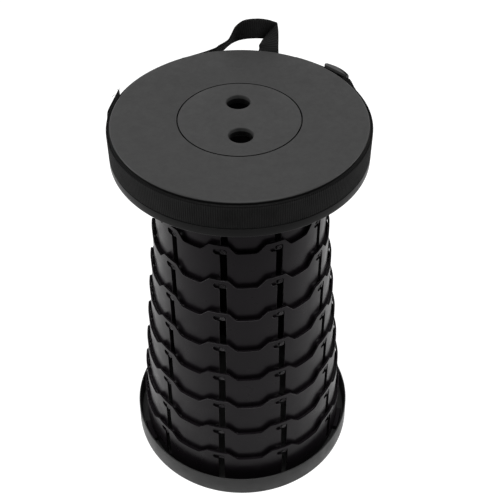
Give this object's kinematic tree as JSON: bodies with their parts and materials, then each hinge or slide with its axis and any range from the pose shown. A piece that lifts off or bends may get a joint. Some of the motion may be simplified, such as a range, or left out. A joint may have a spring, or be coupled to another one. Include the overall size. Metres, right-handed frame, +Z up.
{
  "type": "collapsible telescopic stool",
  "caption": "Round seat on a column of nested slotted rings that telescope out of a shallow base tray, with a lift-out lid and a webbing carrying strap.",
  "frame": {"origin": "centre of the foot mat's lower face, on the floor under the column's axis", "axes": "+Z up along the column's axis, -Y towards the side that the picture shows, +X to its right; the carrying loop is at +Y"},
  "size_m": [0.2638, 0.2793, 0.4815],
  "materials": {
    "seat_plastic": "matt grey, fine grain",
    "lid_plastic": "matt grey, fine grain",
    "ring_plastic": "satin charcoal",
    "tray_plastic": "satin dark grey",
    "mat_rubber": "matt",
    "webbing": "ribbed woven webbing",
    "slider_plastic": "satin grey",
    "screw_steel": "plain zinc"
  },
  "bodies": {
    "base": {"base_tray": "tray_plastic", "foot_mat": "mat_rubber", "base_ring": "ring_plastic", "base_screw_1": "screw_steel", "base_screw_2": "screw_steel", "base_screw_3": "screw_steel", "base_screw_4": "screw_steel", "base_screw_5": "screw_steel"},
    "ring_1": {"column_ring_1": "ring_plastic"},
    "ring_2": {"column_ring_2": "ring_plastic"},
    "ring_3": {"column_ring_3": "ring_plastic"},
    "ring_4": {"column_ring_4": "ring_plastic"},
    "ring_5": {"column_ring_5": "ring_plastic"},
    "ring_6": {"column_ring_6": "ring_plastic"},
    "ring_7": {"column_ring_7": "ring_plastic"},
    "ring_8": {"column_ring_8": "ring_plastic"},
    "seat": {"seat_shell": "seat_plastic", "seat_sleeve": "ring_plastic", "seat_screw_1": "screw_steel", "seat_screw_2": "screw_steel", "seat_screw_3": "screw_steel", "seat_screw_4": "screw_steel", "seat_screw_5": "screw_steel", "strap_band": "webbing", "strap_lead": "webbing", "strap_slider": "slider_plastic", "strap_loop": "webbing"},
    "lid": {"seat_lid": "lid_plastic"}
  },
  "joints": [
    {"name": "ring_1_slide", "type": "slide", "parent": "base", "child": "ring_1", "axis": [0, 0, 1], "range_m": [-0.0428, 0]},
    {"name": "ring_2_slide", "type": "slide", "parent": "ring_1", "child": "ring_2", "axis": [0, 0, 1], "range_m": [-0.0428, 0]},
    {"name": "ring_3_slide", "type": "slide", "parent": "ring_2", "child": "ring_3", "axis": [0, 0, 1], "range_m": [-0.0428, 0]},
    {"name": "ring_4_slide", "type": "slide", "parent": "ring_3", "child": "ring_4", "axis": [0, 0, 1], "range_m": [-0.0428, 0]},
    {"name": "ring_5_slide", "type": "slide", "parent": "ring_4", "child": "ring_5", "axis": [0, 0, 1], "range_m": [-0.0428, 0]},
    {"name": "ring_6_slide", "type": "slide", "parent": "ring_5", "child": "ring_6", "axis": [0, 0, 1], "range_m": [-0.0428, 0]},
    {"name": "ring_7_slide", "type": "slide", "parent": "ring_6", "child": "ring_7", "axis": [0, 0, 1], "range_m": [-0.0428, 0]},
    {"name": "ring_8_slide", "type": "slide", "parent": "ring_7", "child": "ring_8", "axis": [0, 0, 1], "range_m": [-0.0428, 0]},
    {"name": "seat_slide", "type": "slide", "parent": "ring_8", "child": "seat", "axis": [0, 0, 1], "range_m": [-0.0356, 0]},
    {"name": "lid_lift_out", "type": "slide", "parent": "seat", "child": "lid", "axis": [0, 0, 1], "range_m": [0, 0.06]}
  ]
}
